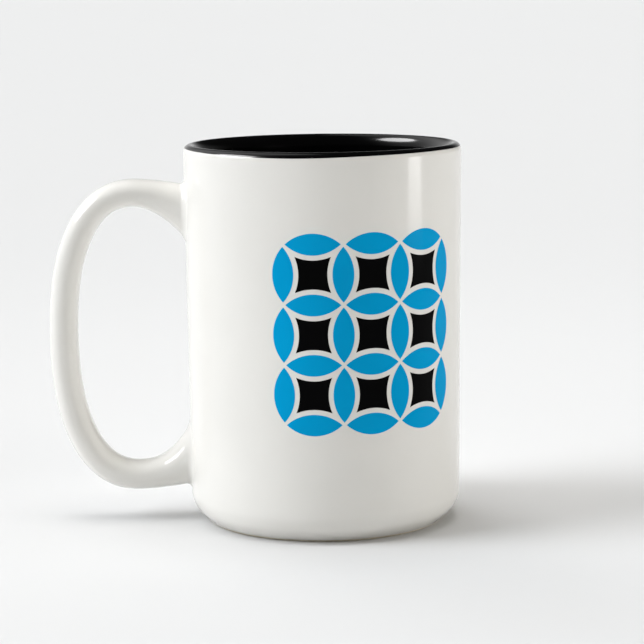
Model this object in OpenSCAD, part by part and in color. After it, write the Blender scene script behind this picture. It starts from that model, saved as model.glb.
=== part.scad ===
// A two-tone coffee mug: a straight stoneware cup with a black glaze inside and over the lip,
// a white glaze outside, a cast strap handle luted to the wall with slip, and a printed
// lattice of petals on one side. Millimetres, +Z up, the origin in the middle of the foot.
// The handle points along -X.

/* [Cup] */
// Outer diameter at the lip, glaze included
cup_d = 86; // [76:1:100]
// Height from the table to the top of the lip
cup_h = 117.7; // [100:0.1:140]
// How much narrower the straight wall is at its base than at the lip, on the diameter
wall_taper = 1.7; // [0:0.1:4]
// Thickness of the wall at the lip, glaze included
wall_t = 4.4; // [3.4:0.1:6]
// Thickness of the floor over the recess, glaze included
floor_t = 7; // [4:0.5:10]
// Radius of the curve between the wall and the floor inside
floor_fillet_r = 10; // [4:1:16]

/* [Foot] */
// Distance from the base of the straight wall in to the edge of the foot
foot_inset = 5.65; // [4.5:0.05:9]
// Angle of the sloping base above the table, in degrees
base_slope = 45; // [35:1:55]
// Radius of the soft knuckle between the sloping base and the wall
knuckle_r = 8; // [4:0.5:11]
// Width of the bare ring that stands on the table
foot_ring_w = 4; // [2.5:0.5:7]
// Height of the recess under the floor
recess_h = 2; // [1:0.25:3]
// Height of the bare clay below the edge of the white glaze
bare_foot_h = 0.8; // [0.4:0.1:1.5]

/* [Glaze] */
// Thickness of the fired glaze
glaze_t = 0.3; // [0.2:0.05:0.5]
// How far the black glaze laps down over the outside of the lip
lip_lap = 1.2; // [0.6:0.1:1.6]

/* [Handle] */
// Distance from the top of the lip down to the middle of the upper arm, where it runs level
upper_arm_drop = 14.9; // [12:0.1:24]
// Height of the middle of the lower arm above the table, where it runs level
lower_arm_h = 13.8; // [11:0.2:24]
// Distance from the lip's outer radius out to the middle of the grip
handle_reach = 38.3; // [34:0.1:48]
// Distance from the lip's outer radius out to where the arms run level
arm_reach = 15.5; // [12:0.5:20]
// Squareness of the grip's curve, where 2 is an ellipse
grip_power = 2.3; // [2:0.05:3]
// Thickness of the upper arm, in the plane of the loop
upper_arm_t = 8; // [6:0.1:10]
// Thickness of the lower arm, to which the grip swells evenly
lower_arm_t = 8.5; // [6:0.1:10]
// Width of the strap, across the loop
handle_w = 13.6; // [10:0.1:18]
// Squareness of the strap's section, where 2 is an ellipse
strap_power = 2.2; // [2:0.1:4]

/* [Handle roots] */
// How far the top edge of the upper arm tucks down by the time it meets the wall
upper_root_tuck = 1.8; // [0:0.1:3]
// How far the underside of the upper arm flares down at the wall
upper_root_flare = 10; // [4:0.2:14]
// How far the bottom edge of the lower arm tucks up by the time it meets the wall
lower_root_tuck = 1.7; // [0:0.1:3]
// How far the top of the lower arm flares up at the wall
lower_root_flare = 12; // [4:0.2:16]
// How far the strap spreads at the wall, on each side
root_spread = 1.4; // [0:0.1:3]
// Radius of the sponged fillet where the handle meets the wall
root_fillet_r = 2; // [1:0.1:3]
// Thickness of the slip between the handle and the wall
slip_t = 0.8; // [0.4:0.1:1.2]

/* [Print] */
// Angle of the middle of the print, from the side opposite the handle, in degrees
print_angle = -70; // [-100:1:100]
// Height of the middle of the print above the middle of the cup
print_lift = 5; // [-6:0.5:8]
// Width of one square cell of the lattice
cell_w = 18; // [12:0.5:20]
// Number of cells across and up
cell_count = 3; // [1:1:3]
// White gap round each petal and diamond
print_gap = 1; // [0.5:0.1:2]
// Thickness of the fired ink
ink_t = 0.1; // [0.08:0.01:0.15]

/* [Hidden] */
$fn = 96;

// Steps along each round stretch of an outline, and round the strap
arc_steps = 8;
grip_steps = 20;
arm_steps = 5;
fillet_steps = 3;
strap_sides = 24;
// Powers of the arms' flare: the outer edges, the upper underside, the lower top
tuck_power = 1.6;
upper_flare_power = 1.8;
lower_flare_power = 2.4;
// The fillet is sponged away before it runs out flat on the wall, at this angle
fillet_end = 70;
// How far the edge of the fillet sinks under the surface that it runs out on
edge_sink = 0.1;
// How far the ink's outlines are drawn through the film on each side
overrun = 1;

cup_r = cup_d / 2;
base_r = cup_r - wall_taper / 2;
bore_r = cup_r - wall_t;
foot_r = base_r - foot_inset;
lip_r = wall_t / 2;
lip_center = [cup_r - lip_r, cup_h - lip_r];
lap_angle = asin((lip_r - lip_lap) / lip_r);
knuckle_z = ((foot_inset - knuckle_r) * sin(base_slope) + knuckle_r) / cos(base_slope);
knuckle_center = [base_r - knuckle_r, knuckle_z];
floor_z = recess_h + floor_t;
ring_inner_r = foot_at(0, glaze_t) - foot_ring_w;
recess_r = ring_inner_r - recess_h;
crown_s = cup_r + arm_reach;
grip_s = cup_r + handle_reach;
print_mid_z = cup_h / 2 + print_lift;

// Points on an arc, from one angle to another
function arc(center, r, from, to) =
    [for (i = [0 : arc_steps])
        let (a = from + (to - from) * i / arc_steps)
        center + r * [cos(a), sin(a)]];

function reversed(list) = [for (i = [len(list) - 1 : -1 : 0]) list[i]];

// A root of a power that keeps the sign
function bent(x, power) = sign(x) * pow(abs(x), 2 / power);

// Radius of the sloping base at a height, set inwards by a depth square to it
function foot_at(z, depth) = foot_r + z / tan(base_slope) - depth / sin(base_slope);

// Glazed radius of the wall at a height, down round the knuckle
function wall_at(z) =
    z >= knuckle_z
        ? base_r + (cup_r - base_r) * (z - knuckle_z) / (lip_center[1] - knuckle_z)
        : knuckle_center[0] + sqrt(max(0, pow(knuckle_r, 2) - pow(knuckle_z - z, 2)));

function clay_at(z) = wall_at(z) - glaze_t;

// The outer side from the bare foot up to the top of the knuckle, set inwards by a depth,
// and the shoulder where the straight wall ends and the lip begins
function outer_side(depth) =
    concat([[foot_at(bare_foot_h, depth), bare_foot_h]],
           arc(knuckle_center, knuckle_r - depth, base_slope - 90, 0));
function shoulder(depth) = lip_center + [lip_r - depth, 0];

// The lip from one angle to another, where 0 is its shoulder and 180 the top of the bore
function lip(depth, from, to) = arc(lip_center, lip_r - depth, from, to);

// The lining from the foot of the bore down to the middle of the floor
function lining(depth) =
    concat(arc([bore_r - floor_fillet_r, floor_z + floor_fillet_r], floor_fillet_r + depth, 0, -90),
           [[0, floor_z - depth]]);

// A layer on the outer side between two depths
module outer_layer(outer_depth, inner_depth) {
    rotate_extrude()
        polygon(concat(outer_side(outer_depth),
                       [shoulder(outer_depth), shoulder(inner_depth)],
                       reversed(outer_side(inner_depth))));
}

// The whole cup as if filled, up to a depth in from its outer side
module filled_cup(depth) {
    rotate_extrude()
        polygon(concat([[0, 0], [foot_at(0, depth), 0]],
                       outer_side(depth),
                       lip(depth, 0, 90),
                       [[0, cup_h - depth]]));
}

// The loop is a run of stations, each of which is
// [distance from the axis, height, angle of the outer edge, half thickness, half width, nearness to the wall]
function arm_z(side) = side > 0 ? cup_h - upper_arm_drop : lower_arm_h;
function arm_t(side) = side > 0 ? upper_arm_t : lower_arm_t;
function root_tuck(side) = side > 0 ? upper_root_tuck : lower_root_tuck;
function root_flare(side) = side > 0 ? upper_root_flare : lower_root_flare;
function flare_power(side) = side > 0 ? upper_flare_power : lower_flare_power;

function arm_station(side, s, grow, follows_wall) =
    let (near = min(1, (crown_s - s) / (crown_s - clay_at(arm_z(side)))),
         outer = arm_t(side) / 2 - root_tuck(side) * pow(near, tuck_power),
         inner = -arm_t(side) / 2 - root_flare(side) * pow(near, flare_power(side)))
    [s, arm_z(side) + side * (outer + inner) / 2, side * 90, (outer - inner) / 2 + grow,
     handle_w / 2 + root_spread * pow(near, 2) + grow, follows_wall ? near : 0];

// An arm from where it runs level, down its fillet, and on into the wall
function arm(side, grow) =
    let (wall = clay_at(arm_z(side)),
         fillet_s = wall + root_fillet_r,
         edge_grow = root_fillet_r * (1 - cos(fillet_end)) + grow)
    concat(
        [for (i = [0 : arm_steps - 1])
            arm_station(side, crown_s + (fillet_s - crown_s) * i / arm_steps, grow, true)],
        [for (i = [0 : fillet_steps])
            let (a = fillet_end * i / fillet_steps,
                 r = root_fillet_r - grow)
            arm_station(side, fillet_s - r * sin(a), root_fillet_r - r * cos(a), true)],
        [arm_station(side, wall + grow - edge_sink, edge_grow, true),
         arm_station(side, wall - wall_t / 2, edge_grow, false)]);

// The grip between the two arms, thickening towards the lower one
function grip(grow) =
    [for (i = [1 : grip_steps - 1])
        let (a = 90 - 180 * i / grip_steps,
             x = bent(cos(a), grip_power),
             z = bent(sin(a), grip_power),
             reach = grip_s - crown_s,
             rise = (arm_z(1) - arm_z(-1)) / 2,
             outward = atan2(sign(z) * pow(abs(z), grip_power - 1) / rise, pow(x, grip_power - 1) / reach),
             thick = upper_arm_t + (lower_arm_t - upper_arm_t) * (1 - z) / 2)
        [crown_s + reach * x, arm_z(-1) + rise * (1 + z), outward, thick / 2 + grow, handle_w / 2 + grow, 0]];

// The strap's outline at a station, bowed to the wall near the root
function strap_ring(station) =
    [for (k = [0 : strap_sides - 1])
        let (a = 360 * k / strap_sides,
             out = station[3] * bent(cos(a), strap_power),
             y = station[4] * bent(sin(a), strap_power),
             z = station[1] + out * sin(station[2]),
             near = station[5],
             mid_r = clay_at(station[2] > 0 ? arm_z(1) : arm_z(-1)),
             bow = near > 0 ? (sqrt(pow(clay_at(z), 2) - pow(y, 2)) - mid_r) * pow(near, 2) : 0)
        [-(station[0] + out * cos(station[2]) + bow), y, z]];

// A solid through a run of stations
module strap(stations) {
    rings = [for (station = stations) strap_ring(station)];
    last = len(stations) - 1;
    function at(i, k) = i * strap_sides + k % strap_sides;
    polyhedron(
        points = [for (ring = rings) each ring],
        faces = concat(
            [[for (k = [0 : strap_sides - 1]) at(0, k)]],
            [for (i = [0 : last - 1], k = [0 : strap_sides - 1]) [at(i, k), at(i + 1, k), at(i, k + 1)]],
            [for (i = [0 : last - 1], k = [0 : strap_sides - 1])
                [at(i, k + 1), at(i + 1, k), at(i + 1, k + 1)]],
            [[for (k = [strap_sides - 1 : -1 : 0]) at(last, k)]]),
        convexity = 6);
}

module loop(grow) {
    strap(concat(reversed(arm(1, grow)), grip(grow), arm(-1, grow)));
}

module root(side, grow) {
    strap(side > 0 ? reversed(arm(side, grow)) : arm(side, grow));
}

module slip_joint(side) {
    intersection() {
        outer_layer(glaze_t - slip_t, glaze_t);
        root(side, 0);
    }
}

// Draws a flat outline square on to the wall, at a place on the print in cells from its middle
module on_wall(across, up) {
    r = wall_at(print_mid_z);
    turn = across * cell_w / r * 180 / PI;
    rotate([0, 0, print_angle + turn])
        translate([r - overrun, 0, print_mid_z + up * cell_w])
            rotate([90, 0, 90])
                linear_extrude(2 * overrun)
                    children();
}

// A pointed petal along the side that two cells share
module petal() {
    r = cell_w / sqrt(2) - print_gap / 2;
    intersection() {
        translate([0, cell_w / 2])
            circle(r);
        translate([0, -cell_w / 2])
            circle(r);
    }
}

// The hollow-sided diamond that four petals leave in a cell
module diamond() {
    difference() {
        square(cell_w, center = true);
        for (a = [0 : 90 : 270])
            rotate(a)
                translate([cell_w, 0])
                    circle(cell_w / sqrt(2) + print_gap);
    }
}

module cup_body() {
    color("wheat")
        rotate_extrude()
            polygon(concat([[ring_inner_r, 0], [foot_at(0, glaze_t), 0]],
                           outer_side(glaze_t),
                           lip(glaze_t, 0, 180),
                           lining(glaze_t),
                           [[0, recess_h + glaze_t], [recess_r, recess_h + glaze_t], [recess_r, recess_h]]));
}

module handle() {
    color("wheat")
        difference() {
            loop(0);
            filled_cup(glaze_t - slip_t);
        }
}

module upper_slip_joint() {
    color("tan")
        slip_joint(1);
}

module lower_slip_joint() {
    color("tan")
        slip_joint(-1);
}

module black_lining() {
    color("black")
        rotate_extrude()
            polygon(concat(lip(0, lap_angle, 180),
                           lining(0),
                           reversed(lining(glaze_t)),
                           lip(glaze_t, 180, lap_angle)));
}

module outside_glaze() {
    color("white")
        difference() {
            rotate_extrude()
                polygon(concat(outer_side(0),
                               lip(0, 0, lap_angle),
                               lip(glaze_t, lap_angle, 0),
                               reversed(outer_side(glaze_t))));
            root(1, glaze_t);
            root(-1, glaze_t);
        }
}

module handle_glaze() {
    color("white")
        difference() {
            loop(glaze_t);
            loop(0);
            filled_cup(glaze_t);
        }
}

module base_glaze() {
    color("white")
        translate([0, 0, recess_h])
            cylinder(r = recess_r, h = glaze_t);
}

module print_blue() {
    middle = (cell_count - 1) / 2;
    edge = cell_count / 2;
    color("deepskyblue")
        intersection() {
            outer_layer(-ink_t, 0);
            for (i = [0 : cell_count - 1], j = [0 : cell_count]) {
                on_wall(i - middle, j - edge)
                    petal();
                on_wall(j - edge, i - middle)
                    rotate(90)
                        petal();
            }
        }
}

module print_black() {
    middle = (cell_count - 1) / 2;
    color("black")
        intersection() {
            outer_layer(-ink_t, 0);
            for (i = [0 : cell_count - 1], j = [0 : cell_count - 1])
                on_wall(i - middle, j - middle)
                    diamond();
        }
}

cup_body();
handle();
upper_slip_joint();
lower_slip_joint();
black_lining();
outside_glaze();
handle_glaze();
base_glaze();
print_blue();
print_black();
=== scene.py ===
# A two-tone coffee mug: a stoneware cup with a luted strap handle, black glaze inside and over the lip,
# white glaze outside, and a petal lattice printed on one side.
import math

import bmesh
import bpy
from mathutils import Matrix, Vector


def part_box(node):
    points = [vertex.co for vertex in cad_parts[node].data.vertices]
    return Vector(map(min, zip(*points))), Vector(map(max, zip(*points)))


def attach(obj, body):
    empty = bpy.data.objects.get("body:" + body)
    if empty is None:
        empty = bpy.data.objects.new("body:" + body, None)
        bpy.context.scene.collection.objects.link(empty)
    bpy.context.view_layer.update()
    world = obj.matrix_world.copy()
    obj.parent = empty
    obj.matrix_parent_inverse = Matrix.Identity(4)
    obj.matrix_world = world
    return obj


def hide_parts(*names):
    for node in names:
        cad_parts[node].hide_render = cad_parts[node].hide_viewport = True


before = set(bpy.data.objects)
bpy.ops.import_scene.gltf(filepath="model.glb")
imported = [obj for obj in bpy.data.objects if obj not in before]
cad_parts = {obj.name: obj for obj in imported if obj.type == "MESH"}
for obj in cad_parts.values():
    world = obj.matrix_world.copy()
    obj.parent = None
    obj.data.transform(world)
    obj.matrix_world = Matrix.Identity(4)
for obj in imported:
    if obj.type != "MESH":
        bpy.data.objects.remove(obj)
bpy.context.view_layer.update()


# The cup is pressed from white stoneware, fettled at the foot and fired once before it is glazed.
# The glaze hides all of it but the foot ring, whose edges are sponged soft and left bare.
mm = 0.001
glaze_t = 0.3 * mm
cup_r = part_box("outside_glaze")[1].x
cup_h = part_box("black_lining")[1].z
wall_taper = 1.7 * mm
wall_t = 4.4 * mm
base_r = cup_r - wall_taper / 2
bore_r = cup_r - wall_t
lip_r = wall_t / 2
lip_center = (cup_r - lip_r, cup_h - lip_r)
lip_fall = 4 * mm
floor_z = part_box("black_lining")[0].z + glaze_t
floor_fillet_r = 10 * mm
foot_inset = 5.65 * mm
foot_r = base_r - foot_inset
foot_slope = math.radians(45)
knuckle_r = 8 * mm
knuckle_z = ((foot_inset - knuckle_r) * math.sin(foot_slope) + knuckle_r) / math.cos(foot_slope)
knuckle_center = (base_r - knuckle_r, knuckle_z)
recess_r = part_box("base_glaze")[1].x
recess_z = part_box("base_glaze")[0].z
ring_inner_r = recess_r + recess_z
sponged_edge = 0.5 * mm

# How finely the curves are drawn.
turn_steps = 192
knuckle_steps = 12
clay_lip_steps = 16
floor_curve_steps = 14
merge_distance = 0.001 * mm
crease = math.radians(40)


def arc(center, r, start, end, steps):
    """Points on an arc from one angle to another, in degrees, as (radius, height)."""
    angles = [math.radians(start + (end - start) * i / steps) for i in range(steps + 1)]
    return [(center[0] + r * math.cos(a), center[1] + r * math.sin(a)) for a in angles]


def lip(depth, start, steps):
    """The lip under a depth of glaze: round outside, from an angle, and eased down to the bore inside."""
    outside = arc(lip_center, lip_r - depth, start, 90, steps)
    angles = [math.radians(90 + 90 * i / steps) for i in range(1, steps + 1)]
    inside = [(lip_center[0] + (lip_r - depth) * math.cos(a),
               cup_h - lip_fall + (lip_fall - depth) * math.sin(a)) for a in angles]
    return outside + inside


def foot_at(z, depth):
    """Radius of the sloping foot at a height, set in by a depth of glaze."""
    return foot_r + z / math.tan(foot_slope) - depth / math.sin(foot_slope)


def knuckle(depth):
    """The soft knuckle between the sloping foot and the wall, set in by a depth of glaze."""
    return arc(knuckle_center, knuckle_r - depth, math.degrees(foot_slope) - 90, 0, knuckle_steps)


def lining(depth):
    """The bore's foot, the curve into the floor and the floor, under a depth of glaze."""
    curve_center = (bore_r - floor_fillet_r, floor_z + floor_fillet_r)
    curve = arc(curve_center, floor_fillet_r + depth, 0, -90, floor_curve_steps)
    return curve + [(0, floor_z - depth)]


def turned(name, outline):
    """A round piece: an outline of (radius, height) points, spun round the cup's axis."""
    bpy.ops.object.select_all(action="DESELECT")
    bpy.ops.mesh.primitive_plane_add(size=mm, location=(outline[0][0], 0, outline[0][1]))
    piece = bpy.context.object
    piece.name = piece.data.name = name
    bpy.ops.object.transform_apply(location=True)
    bpy.ops.object.mode_set(mode="EDIT")
    bpy.ops.mesh.select_all(action="SELECT")
    bpy.ops.mesh.merge(type="CENTER")
    for (r0, z0), (r1, z1) in zip(outline, outline[1:]):
        bpy.ops.mesh.extrude_vertices_move(TRANSFORM_OT_translate={"value": (r1 - r0, 0, z1 - z0)})
    bpy.ops.mesh.select_all(action="SELECT")
    bpy.ops.mesh.spin(steps=turn_steps, angle=2 * math.pi, center=(0, 0, 0), axis=(0, 0, 1))
    bpy.ops.mesh.select_all(action="SELECT")
    bpy.ops.mesh.remove_doubles(threshold=merge_distance)
    bpy.ops.mesh.normals_make_consistent(inside=False)
    bpy.ops.object.mode_set(mode="OBJECT")
    return piece


def modify(piece, kind, **settings):
    """Adds a modifier to a piece and applies it."""
    bpy.context.view_layer.objects.active = piece
    modifier = piece.modifiers.new(kind.lower(), kind)
    for name, value in settings.items():
        setattr(modifier, name, value)
    bpy.ops.object.modifier_apply(modifier=modifier.name)


def soften(piece, width, segments, from_degrees):
    """Rounds those edges of a piece that are sharper than an angle."""
    modify(piece, "BEVEL", width=width, segments=segments,
           limit_method="ANGLE", angle_limit=math.radians(from_degrees))


def smooth(piece):
    """Smooth shading, but for the creases."""
    bpy.ops.object.select_all(action="DESELECT")
    piece.select_set(True)
    bpy.context.view_layer.objects.active = piece
    bpy.ops.object.shade_smooth_by_angle(angle=crease)


def linear(colour):
    """An sRGB hex colour as linear red, green, blue and alpha."""
    parts = [int(colour[i:i + 2], 16) / 255 for i in (1, 3, 5)]
    return [p / 12.92 if p <= 0.04045 else ((p + 0.055) / 1.055) ** 2.4 for p in parts] + [1]


def add(tree, kind, values=(), links=(), **settings):
    """Adds a node with its settings, its input values and its links from other nodes' outputs."""
    made = tree.nodes.new(kind)
    for name, value in settings.items():
        setattr(made, name, value)
    for name, value in dict(values).items():
        made.inputs[name].default_value = value
    for name, output in dict(links).items():
        tree.links.new(output, made.inputs[name])
    return made


# Bisque stoneware: fired but unglazed clay, matt and dry, with fine dark grog specks and a grainy surface.
clay_pale = "#E4DCCB"
clay_dark = "#C9BCA4"
clay_roughness = 0.85
grog_size = 0.5 * mm
grog_detail = 3
grog_height = 0.03 * mm
speck_share = 0.3
clear_share = 0.48
bisque = bpy.data.materials.new("bisque_stoneware")
bisque.use_nodes = True
tree = bisque.node_tree
shader = tree.nodes["Principled BSDF"]
shader.inputs["Roughness"].default_value = clay_roughness
place = add(tree, "ShaderNodeTexCoord")
grog = add(tree, "ShaderNodeTexNoise", {"Scale": 1 / grog_size, "Detail": grog_detail},
           {"Vector": place.outputs["Object"]})
specks = add(tree, "ShaderNodeValToRGB", links={"Fac": grog.outputs["Fac"]})
specks.color_ramp.elements[0].position = speck_share
specks.color_ramp.elements[0].color = linear(clay_dark)
specks.color_ramp.elements[1].position = clear_share
specks.color_ramp.elements[1].color = linear(clay_pale)
grain = add(tree, "ShaderNodeBump", {"Distance": grog_height}, {"Height": grog.outputs["Fac"]})
tree.links.new(specks.outputs["Color"], shader.inputs["Base Color"])
tree.links.new(grain.outputs["Normal"], shader.inputs["Normal"])

cup_clay = turned("cup_clay",
                  [(0, recess_z + glaze_t), (recess_r, recess_z + glaze_t), (recess_r, recess_z),
                   (ring_inner_r, 0), (foot_at(0, glaze_t), 0)]
                  + knuckle(glaze_t)
                  + lip(glaze_t, 0, clay_lip_steps)
                  + lining(glaze_t))
soften(cup_clay, sponged_edge, segments=4, from_degrees=30)
smooth(cup_clay)
cup_clay.data.materials.append(bisque)
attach(cup_clay, "root")
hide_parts("cup_body")


# The handle is cast from the same clay and stuck on with slip, a wet clay glue, at its two flared roots.
# Both are wholly under the glaze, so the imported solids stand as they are.
handle_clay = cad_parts["handle"]
handle_clay.data.materials.clear()
handle_clay.data.materials.append(bisque)
for joint in ("upper_slip_joint", "lower_slip_joint"):
    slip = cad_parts[joint]
    slip.data.materials.clear()
    slip.data.materials.append(bisque)


# The white glaze on the outer wall, sprayed on over the fired cup from the bare foot up to the lip.
# It is a thin glassy coat with a soft rounded edge. It thins a little where the black laps over it,
# and it is left open under the two roots of the handle, whose sizes are therefore here.
bare_foot_h = 0.8 * mm
coat_edge = 0.1 * mm
tuck_end = 58
tuck_step = 2
tuck_depth = 0.15 * mm
wall_rows = 64

upper_arm_z = cup_h - 14.9 * mm
lower_arm_z = 13.8 * mm
upper_arm_t = 8 * mm
lower_arm_t = 8.5 * mm
handle_w = 13.6 * mm
arm_reach = 15.5 * mm
crown_s = cup_r + arm_reach
grip_s = -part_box("handle_glaze")[0].x - (upper_arm_t + lower_arm_t) / 4 - glaze_t
grip_power = 2.3
strap_power = 2.2
root_fillet_r = 2 * mm
root_spread = 1.4 * mm
tuck_power = 1.6

# By arm: 1 is the upper one and -1 the lower one.
root_tuck = {1: 1.8 * mm, -1: 1.7 * mm}
root_flare = {1: 10 * mm, -1: 12 * mm}
flare_power = {1: 1.8, -1: 2.4}
arm_z = {1: upper_arm_z, -1: lower_arm_z}
arm_t = {1: upper_arm_t, -1: lower_arm_t}


def wall_at(z):
    """Glazed radius of the wall at a height, down round the knuckle."""
    if z < knuckle_z:
        return knuckle_center[0] + math.sqrt(knuckle_r ** 2 - (knuckle_z - z) ** 2)
    return base_r + (cup_r - base_r) * (z - knuckle_z) / (lip_center[1] - knuckle_z)


def arm_section(side, near):
    """Middle height, half thickness and half width of an arm, by how near it is to the wall, from 0 to 1."""
    outer = arm_t[side] / 2 - root_tuck[side] * near ** tuck_power
    inner = -arm_t[side] / 2 - root_flare[side] * near ** flare_power[side]
    middle = arm_z[side] + side * (outer + inner) / 2
    return middle, (outer - inner) / 2, handle_w / 2 + root_spread * near ** 2


def fired_glaze(name, colour, deep_colour, roughness, gloss):
    """A fired glaze or ink: glassy, with a slow drift of tone and a faint ripple from the spraying."""
    glass_ior = 1.5
    drift_size = 30 * mm
    deep_share = 0.3
    full_share = 0.7
    ripple_size = 6 * mm
    ripple_height = 0.0015 * mm
    glaze = bpy.data.materials.new(name)
    glaze.use_nodes = True
    tree = glaze.node_tree
    shader = tree.nodes["Principled BSDF"]
    shader.inputs["IOR"].default_value = glass_ior
    shader.inputs["Roughness"].default_value = roughness
    shader.inputs["Specular IOR Level"].default_value = gloss
    place = add(tree, "ShaderNodeTexCoord")
    drift = add(tree, "ShaderNodeTexNoise", {"Scale": 1 / drift_size}, {"Vector": place.outputs["Object"]})
    tone = add(tree, "ShaderNodeValToRGB", links={"Fac": drift.outputs["Fac"]})
    tone.color_ramp.elements[0].position = deep_share
    tone.color_ramp.elements[0].color = linear(deep_colour)
    tone.color_ramp.elements[1].position = full_share
    tone.color_ramp.elements[1].color = linear(colour)
    ripple = add(tree, "ShaderNodeTexNoise", {"Scale": 1 / ripple_size}, {"Vector": place.outputs["Object"]})
    relief = add(tree, "ShaderNodeBump", {"Distance": ripple_height}, {"Height": ripple.outputs["Fac"]})
    tree.links.new(tone.outputs["Color"], shader.inputs["Base Color"])
    tree.links.new(relief.outputs["Normal"], shader.inputs["Normal"])
    return glaze


# Fired white glaze: warm white and nearly flawless, with clear reflections that ripple faintly.
white_glaze = fired_glaze("fired_white_glaze", "#ECEAE5", "#E8E6E1", roughness=0.09, gloss=0.5)

straight = [knuckle_z + (lip_center[1] - knuckle_z) * i / wall_rows for i in range(1, wall_rows)]
lip_tuck = [(a, lip_r - tuck_depth * a / tuck_end) for a in range(0, tuck_end + 1, tuck_step)]
wall_coat = turned("wall_coat",
                   [(foot_at(bare_foot_h, 0), bare_foot_h)]
                   + knuckle(0)
                   + [(wall_at(z), z) for z in straight]
                   + [arc(lip_center, r, a, a, 1)[0] for a, r in lip_tuck])
bpy.ops.object.mode_set(mode="EDIT")
bpy.ops.mesh.select_mode(type="FACE")
bpy.ops.mesh.select_all(action="DESELECT")
mesh = bmesh.from_edit_mesh(wall_coat.data)
for face in mesh.faces:
    x, y, z = face.calc_center_median()
    for side in (1, -1):
        middle, half_t, half_w = arm_section(side, 1)
        under_root = ((z - middle) / half_t) ** 2 + (y / half_w) ** 2 < 1
        face.select |= x < 0 and under_root
bmesh.update_edit_mesh(wall_coat.data)
bpy.ops.mesh.delete(type="FACE")
bpy.ops.mesh.select_mode(type="VERT")
bpy.ops.object.mode_set(mode="OBJECT")
modify(wall_coat, "SOLIDIFY", thickness=glaze_t, offset=-1, use_even_offset=True)
soften(wall_coat, coat_edge, segments=3, from_degrees=50)
smooth(wall_coat)
wall_coat.data.materials.append(white_glaze)
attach(wall_coat, "root")
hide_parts("outside_glaze")


# The white glaze on the handle, one coat with the wall's: it rounds the strap's edges
# and fills the sponged corner where each flared root runs out on to the wall.
strap_sides = 64
arm_steps = 14
fillet_steps = 10
grip_steps = 72
sink = 0.05 * mm
sink_spread = 0.6 * mm
coat_fillet_r = root_fillet_r - glaze_t


def bent(x, power):
    """A root of a power that keeps the sign, for superellipses."""
    return math.copysign(abs(x) ** (2 / power), x)


def strap_ring(s, z, outward, half_t, half_w, bow):
    """The strap's outline at a distance from the axis and a height, bowed to the wall by a share."""
    ring = []
    for k in range(strap_sides):
        a = 2 * math.pi * k / strap_sides
        out = half_t * bent(math.cos(a), strap_power)
        y = half_w * bent(math.sin(a), strap_power)
        point_z = z + out * math.sin(outward)
        point_s = s + out * math.cos(outward)
        if bow:
            middle_r = wall_at(upper_arm_z if outward > 0 else lower_arm_z)
            point_s += (math.sqrt(wall_at(point_z) ** 2 - y ** 2) - middle_r) * bow
        ring.append(Vector((-point_s, y, point_z)))
    return ring


def arm_rings(side):
    """The outlines of an arm, from its level start to a fillet that is sunk into the wall's coat."""
    wall_s = wall_at(arm_z[side])
    fillet_s = wall_s + coat_fillet_r
    steps = [(crown_s + (fillet_s - crown_s) * i / arm_steps, glaze_t) for i in range(arm_steps)]
    for i in range(fillet_steps + 1):
        a = math.radians(90 * i / fillet_steps)
        steps.append((fillet_s - coat_fillet_r * math.sin(a), root_fillet_r - coat_fillet_r * math.cos(a)))
    steps.append((wall_s - sink, root_fillet_r + sink_spread))
    rings = []
    for s, grow in steps:
        near = min(1, (crown_s - s) / (crown_s - wall_s))
        middle, half_t, half_w = arm_section(side, near)
        rings.append(strap_ring(s, middle, side * math.pi / 2, half_t + grow, half_w + grow, near ** 2))
    return rings


def grip_rings():
    """The outlines of the grip between the two arms, which swells evenly towards the lower one."""
    rings = []
    reach = grip_s - crown_s
    rise = (upper_arm_z - lower_arm_z) / 2
    for i in range(1, grip_steps):
        a = math.pi / 2 - math.pi * i / grip_steps
        x = bent(math.cos(a), grip_power)
        z = bent(math.sin(a), grip_power)
        outward = math.atan2(math.copysign(abs(z) ** (grip_power - 1), z) / rise,
                             x ** (grip_power - 1) / reach)
        thick = upper_arm_t + (lower_arm_t - upper_arm_t) * (1 - z) / 2
        rings.append(strap_ring(crown_s + reach * x, lower_arm_z + rise * (1 + z), outward,
                                thick / 2 + glaze_t, handle_w / 2 + glaze_t, 0))
    return rings


rings = arm_rings(1)[::-1] + grip_rings() + arm_rings(-1)
bpy.ops.object.select_all(action="DESELECT")
bpy.ops.mesh.primitive_circle_add(vertices=strap_sides, radius=handle_w / 2)
handle_coat = bpy.context.object
handle_coat.name = handle_coat.data.name = "handle_coat"
bpy.ops.object.mode_set(mode="EDIT")
mesh = bmesh.from_edit_mesh(handle_coat.data)
place_on_ring = mesh.verts.layers.int.new("place_on_ring")
mesh.verts.ensure_lookup_table()
for k, vertex in enumerate(mesh.verts):
    vertex[place_on_ring] = k
    vertex.co = rings[0][k]
bmesh.update_edit_mesh(handle_coat.data)
for ring in rings[1:]:
    bpy.ops.mesh.extrude_edges_move()
    mesh = bmesh.from_edit_mesh(handle_coat.data)
    place_on_ring = mesh.verts.layers.int["place_on_ring"]
    for vertex in mesh.verts:
        if vertex.select:
            vertex.co = ring[vertex[place_on_ring]]
    bmesh.update_edit_mesh(handle_coat.data)
bpy.ops.mesh.select_all(action="SELECT")
bpy.ops.mesh.normals_make_consistent(inside=False)
bpy.ops.object.mode_set(mode="OBJECT")
modify(handle_coat, "SOLIDIFY", thickness=glaze_t, offset=-1)
smooth(handle_coat)
handle_coat.data.materials.append(white_glaze)
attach(handle_coat, "root")
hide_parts("handle_glaze")


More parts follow.
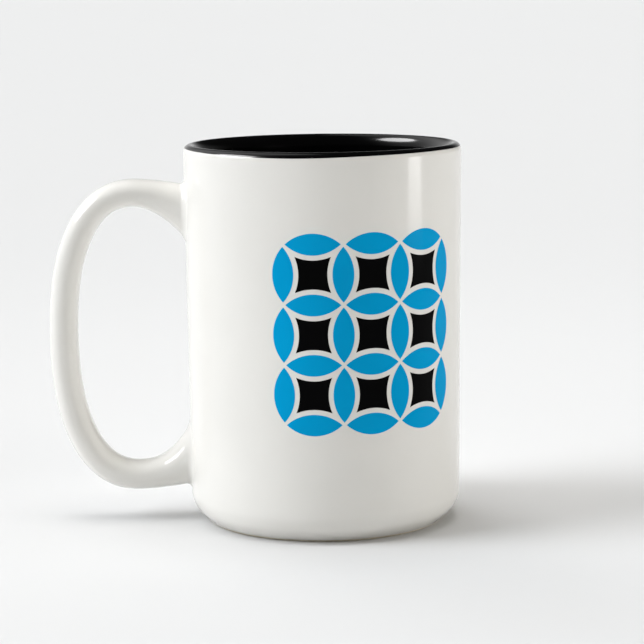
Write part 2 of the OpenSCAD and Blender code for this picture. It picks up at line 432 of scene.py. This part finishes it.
# The black glaze inside, poured in, swirled and tipped out, then brushed over the lip.
# Its edge below the lip is wiped by hand: it wavers, and in one place it has run a little lower.
lap = 1.0 * mm
lap_waver = 0.05 * mm
waver_count = 5
waver_start = 1
run_depth = 0.7 * mm
run_turn = math.radians(-103)
run_spread = math.radians(27)
lip_steps = 24
lap_start = math.degrees(math.asin((lip_r - lap) / lip_r))

# Fired black glaze: a deep even black that shows only by the lights it mirrors, a little blurred.
black_glaze = fired_glaze("fired_black_glaze", "#050506", "#030303", roughness=0.15, gloss=0.6)

lining_coat = turned("lining_coat", lip(0, lap_start, lip_steps) + lining(0))
for vertex in lining_coat.data.vertices:
    r = math.hypot(vertex.co.x, vertex.co.y)
    z = vertex.co.z
    turn = math.atan2(vertex.co.y, vertex.co.x)
    lip_angle = math.degrees(math.atan2(z - lip_center[1], r - lip_center[0]))
    if z > lip_center[1] and lip_angle < 90:
        run = run_depth * math.exp(-((turn - run_turn) / run_spread) ** 2)
        edge_lap = lap + run + lap_waver * math.sin(waver_count * turn + waver_start)
        edge = math.degrees(math.asin((lip_r - edge_lap) / lip_r))
        share = (lip_angle - lap_start) / (90 - lap_start)
        new_angle = math.radians(edge + (90 - edge) * share)
        new_r = lip_center[0] + lip_r * math.cos(new_angle)
        new_z = lip_center[1] + lip_r * math.sin(new_angle)
        vertex.co = (new_r * math.cos(turn), new_r * math.sin(turn), new_z)
modify(lining_coat, "SOLIDIFY", thickness=glaze_t, offset=-1)
smooth(lining_coat)
lining_coat.data.materials.append(black_glaze)
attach(lining_coat, "root")
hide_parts("black_lining")


# The white glaze in the recess under the floor, sprayed on with the wall's.
# It is a shallow pool with a rounded edge, inside the bare foot ring.
pool_edge = 0.12 * mm
bpy.ops.object.select_all(action="DESELECT")
bpy.ops.mesh.primitive_cylinder_add(vertices=turn_steps, radius=recess_r, depth=glaze_t,
                                    location=(0, 0, recess_z + glaze_t / 2))
base_coat = bpy.context.object
base_coat.name = base_coat.data.name = "base_coat"
bpy.ops.object.transform_apply(location=True)
soften(base_coat, pool_edge, segments=4, from_degrees=50)
smooth(base_coat)
base_coat.data.materials.append(white_glaze)
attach(base_coat, "root")
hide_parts("base_glaze")


# The blue petals of the print: ink transferred to the glaze under heat, as a film.
# Each is the lens between two arcs, laid along a side of a square cell of the lattice.
print_turn = math.radians(-70)
print_mid_z = cup_h / 2 + 5 * mm
cell_w = 18 * mm
cell_count = 3
print_gap = 1 * mm
ink_t = 0.04 * mm
petal_r = cell_w / math.sqrt(2) - print_gap / 2
petal_half = math.sqrt(petal_r ** 2 - (cell_w / 2) ** 2)
mid_cell = (cell_count - 1) / 2
mid_line = cell_count / 2

# Fired blue ink: a strong even blue with only a slight gloss, so that it keeps its colour in the light.
blue_ink = fired_glaze("fired_blue_ink", "#00A1DB", "#009DD7", roughness=0.12, gloss=0.03)


def printed(name, motifs, columns, rows):
    """A printed film: for each motif, a grid that its function shapes flat, then laid on the wall."""
    films = []
    for shape, across, up in motifs:
        bpy.ops.object.select_all(action="DESELECT")
        bpy.ops.mesh.primitive_grid_add(x_subdivisions=columns, y_subdivisions=rows, size=2)
        film = bpy.context.object
        for vertex in film.data.vertices:
            x, y = shape(vertex.co.x, vertex.co.y)
            z = print_mid_z + up * cell_w + y
            turn = print_turn + across * cell_w / wall_at(print_mid_z) + math.asin(x / wall_at(z))
            vertex.co = (wall_at(z) * math.cos(turn), wall_at(z) * math.sin(turn), z)
        films.append(film)
    for film in films:
        film.select_set(True)
    bpy.context.view_layer.objects.active = films[0]
    bpy.ops.object.join()
    piece = bpy.context.object
    piece.name = piece.data.name = name
    bpy.ops.object.mode_set(mode="EDIT")
    bpy.ops.mesh.select_all(action="SELECT")
    bpy.ops.mesh.remove_doubles(threshold=merge_distance)
    bpy.ops.object.mode_set(mode="OBJECT")
    modify(piece, "SOLIDIFY", thickness=ink_t, offset=1)
    smooth(piece)
    return piece


def petal(a, b):
    """A point of the flat petal, from a point of a square from -1 to 1."""
    x = a * petal_half
    return x, b * (math.sqrt(petal_r ** 2 - x ** 2) - cell_w / 2)


def upright_petal(a, b):
    """The same petal, standing on its tip."""
    x, y = petal(a, b)
    return -y, x


level_petals = [(petal, i - mid_cell, j - mid_line)
                for i in range(cell_count) for j in range(cell_count + 1)]
upright_petals = [(upright_petal, up, across) for _, across, up in level_petals]
blue_petals = printed("blue_petals", level_petals + upright_petals, columns=28, rows=10)
blue_petals.data.materials.append(blue_ink)
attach(blue_petals, "root")
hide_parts("print_blue")


# The black diamonds of the print, one in each cell, with hollow sides that run along the petals.
# They are transferred with the petals and fired in the same way.
diamond_r = cell_w / math.sqrt(2) + print_gap
diamond_half = (cell_w - math.sqrt(2 * diamond_r ** 2 - cell_w ** 2)) / 2

# Fired black ink: a flat-looking black with the same slight gloss as the blue.
black_ink = fired_glaze("fired_black_ink", "#020203", "#010101", roughness=0.12, gloss=0.03)


def diamond_side(y):
    """How far the hollow side stands from the middle of the diamond, at a height."""
    return cell_w - math.sqrt(diamond_r ** 2 - y ** 2)


def diamond(a, b):
    """A point of the flat diamond, from a point of a square from -1 to 1."""
    return a * diamond_side(b * diamond_half), b * diamond_side(a * diamond_half)


cells = [(diamond, i - mid_cell, j - mid_cell) for i in range(cell_count) for j in range(cell_count)]
black_diamonds = printed("black_diamonds", cells, columns=16, rows=16)
black_diamonds.data.materials.append(black_ink)
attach(black_diamonds, "root")
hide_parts("print_black")


# The table: a plain pale matt board, far larger than the view.
# It has no gloss, so that it takes the mug's soft shadows and mirrors nothing.
floor_w = 40
board_colour = "#DBDBDB"
board_roughness = 0.8
bpy.ops.object.select_all(action="DESELECT")
bpy.ops.mesh.primitive_plane_add(size=floor_w)
floor = bpy.context.object
floor.name = "floor"
board = bpy.data.materials.new("matt_white_board")
board.use_nodes = True
shader = board.node_tree.nodes["Principled BSDF"]
shader.inputs["Base Color"].default_value = linear(board_colour)
shader.inputs["Roughness"].default_value = board_roughness
shader.inputs["Specular IOR Level"].default_value = 0
floor.data.materials.append(board)


# The camera stands square to the handle and looks slightly down.
# Its angles are in radians, and its lens and sensor are in millimetres.
camera_distance = 718.97 * mm
camera_height = 168.77 * mm
camera_pitch = 0.148
camera_heading = 0.00086
camera_roll = -0.0108
camera_lens = 129.93
camera_sensor = 36
bpy.ops.object.camera_add(location=(0, -camera_distance, camera_height))
camera = bpy.context.object
camera.rotation_euler = (Matrix.Rotation(camera_heading, 3, "Z")
                         @ Matrix.Rotation(math.pi / 2 - camera_pitch, 3, "X")
                         @ Matrix.Rotation(camera_roll, 3, "Z")).to_euler()
camera.data.lens = camera_lens
camera.data.sensor_width = camera_sensor
bpy.context.scene.camera = camera


# The room: dim all round, but for a pale backdrop low behind the mug and a tall pale panel back on the left.
# Its walls are given as brightness at eight places, from the front round by the right, low down and high up.
dim = 0.02
backdrop = 0.85
low_stops = [dim, dim, dim, backdrop / 4, backdrop, backdrop, backdrop / 3, dim]
high_stops = [dim, dim, dim, dim, dim, backdrop, backdrop / 2, dim]
low_end = 0.05
high_start = 0.3
bpy.context.scene.view_settings.view_transform = "Standard"
world = bpy.data.worlds.new("room")
bpy.context.scene.world = world
world.use_nodes = True
tree = world.node_tree
place = add(tree, "ShaderNodeTexCoord")
from_front = add(tree, "ShaderNodeMapping", {"Rotation": (0, 0, -math.pi / 2)},
                 {"Vector": place.outputs["Generated"]})
round_room = add(tree, "ShaderNodeTexGradient", links={"Vector": from_front.outputs["Vector"]},
                 gradient_type="RADIAL")
walls = []
for stops in (low_stops, high_stops):
    wall = add(tree, "ShaderNodeValToRGB", links={"Fac": round_room.outputs["Fac"]})
    wall.color_ramp.interpolation = "EASE"
    for i in range(1, len(stops)):
        wall.color_ramp.elements.new(i / len(stops))
    for i, element in enumerate(wall.color_ramp.elements):
        level = stops[i % len(stops)]
        element.position = i / len(stops)
        element.color = (level, level, level, 1)
    walls.append(wall.outputs["Color"])
height = add(tree, "ShaderNodeSeparateXYZ", links={"Vector": place.outputs["Generated"]})
to_top = add(tree, "ShaderNodeMapRange", {"From Min": low_end, "From Max": high_start},
             {"Value": height.outputs["Z"]})
whole = add(tree, "ShaderNodeMixRGB",
            links={"Fac": to_top.outputs["Result"], "Color1": walls[0], "Color2": walls[1]})
tree.links.new(whole.outputs["Color"], tree.nodes["Background"].inputs["Color"])


# Soft studio lamps: three on the left, one over the other, one behind on the left, two low ones on the right,
# an amber fill in front and one overhead, all broad and far off, and a near one above and behind.
# None of these shows in the gloss, where an oval panel on the left and a strip on the right show instead.
cool = (0.97, 1, 1.035)
cream = (1.01, 1, 0.975)
warm = (1, 0.985, 0.96)
amber = (1, 0.8, 0.2)

# Turn to the right of the camera, rise and spread in degrees, watts a square metre, and tint.
broad_lamps = (("left_low", -80, 15, 25, 0.66, cool),
               ("left_middle", -78, 35, 35, 1.56, cool),
               ("left_high", -83, 55, 25, 0.36, cool),
               ("left_back", -150, 30, 40, 0.5, cool),
               ("right_low", 98, 12, 25, 0.79, warm),
               ("right_front", 57, 18, 25, 0.63, warm),
               ("front_fill", 22, 43, 30, 0.04, amber),
               ("overhead", 180, 90, 40, 1.28, cream))


def lamp(kind, name, turn, rise, distance=1):
    """A lamp that faces the mug, some degrees to the right of the camera and up, as the mug sees it."""
    turn = math.radians(turn - 90)
    rise = math.radians(rise)
    way = Vector((math.cos(turn) * math.cos(rise), math.sin(turn) * math.cos(rise), math.sin(rise)))
    bpy.ops.object.light_add(type=kind, location=way * distance + Vector((0, 0, cup_h / 2)),
                             rotation=way.to_track_quat("Z", "Y").to_euler())
    lit = bpy.context.object
    lit.name = name
    lit.visible_camera = False
    return lit


for name, turn, rise, spread, irradiance, tint in broad_lamps:
    sun = lamp("SUN", name, turn, rise)
    sun.data.angle = math.radians(spread)
    sun.data.energy = irradiance
    sun.data.color = tint
    sun.visible_glossy = False

# The near lamp, which lets the light on the table fall off towards the camera.
top_distance = 0.5
top_w = 0.3
top_irradiance = 0.3
top = lamp("AREA", "back_top", turn=180, rise=60, distance=top_distance)
top.data.size = top_w
top.data.energy = top_irradiance * math.pi * top_distance ** 2
top.visible_glossy = False

# The oval panel, seen in the gloss of the lip and of the handle's lower root.
box_distance = 1.5
box_w = 1.05
box_h = 0.6
box_radiance = 11.5
box = lamp("AREA", "left_box", turn=-85, rise=35, distance=box_distance)
box.data.shape = "ELLIPSE"
box.data.size = box_w
box.data.size_y = box_h
box.data.energy = box_radiance * math.pi * math.pi / 4 * box_w * box_h
box.visible_diffuse = False

# The standing strip, laid up in steps that start higher and higher, so that it fades towards its foot.
strip_turn = 78.5
strip_distance = 0.52
strip_gap = 0.002
strip_radiance = 5.2
strip_steps = 6
strip_top = 0.12
fade_start = 0.018
fade_h = 0.07
foot_w = 0.14
head_w = 0.08
for i in range(strip_steps):
    strip_w = foot_w + (head_w - foot_w) * i / strip_steps
    strip_foot = fade_start + fade_h * i / strip_steps
    strip_h = strip_top - strip_foot
    strip = lamp("AREA", "right_strip", strip_turn, rise=0, distance=strip_distance + strip_gap * i)
    strip.location.z = strip_foot + strip_h / 2
    strip.data.shape = "RECTANGLE"
    strip.data.size = strip_w
    strip.data.size_y = strip_h
    strip.data.energy = strip_radiance / strip_steps * math.pi * strip_w * strip_h
    strip.visible_diffuse = False
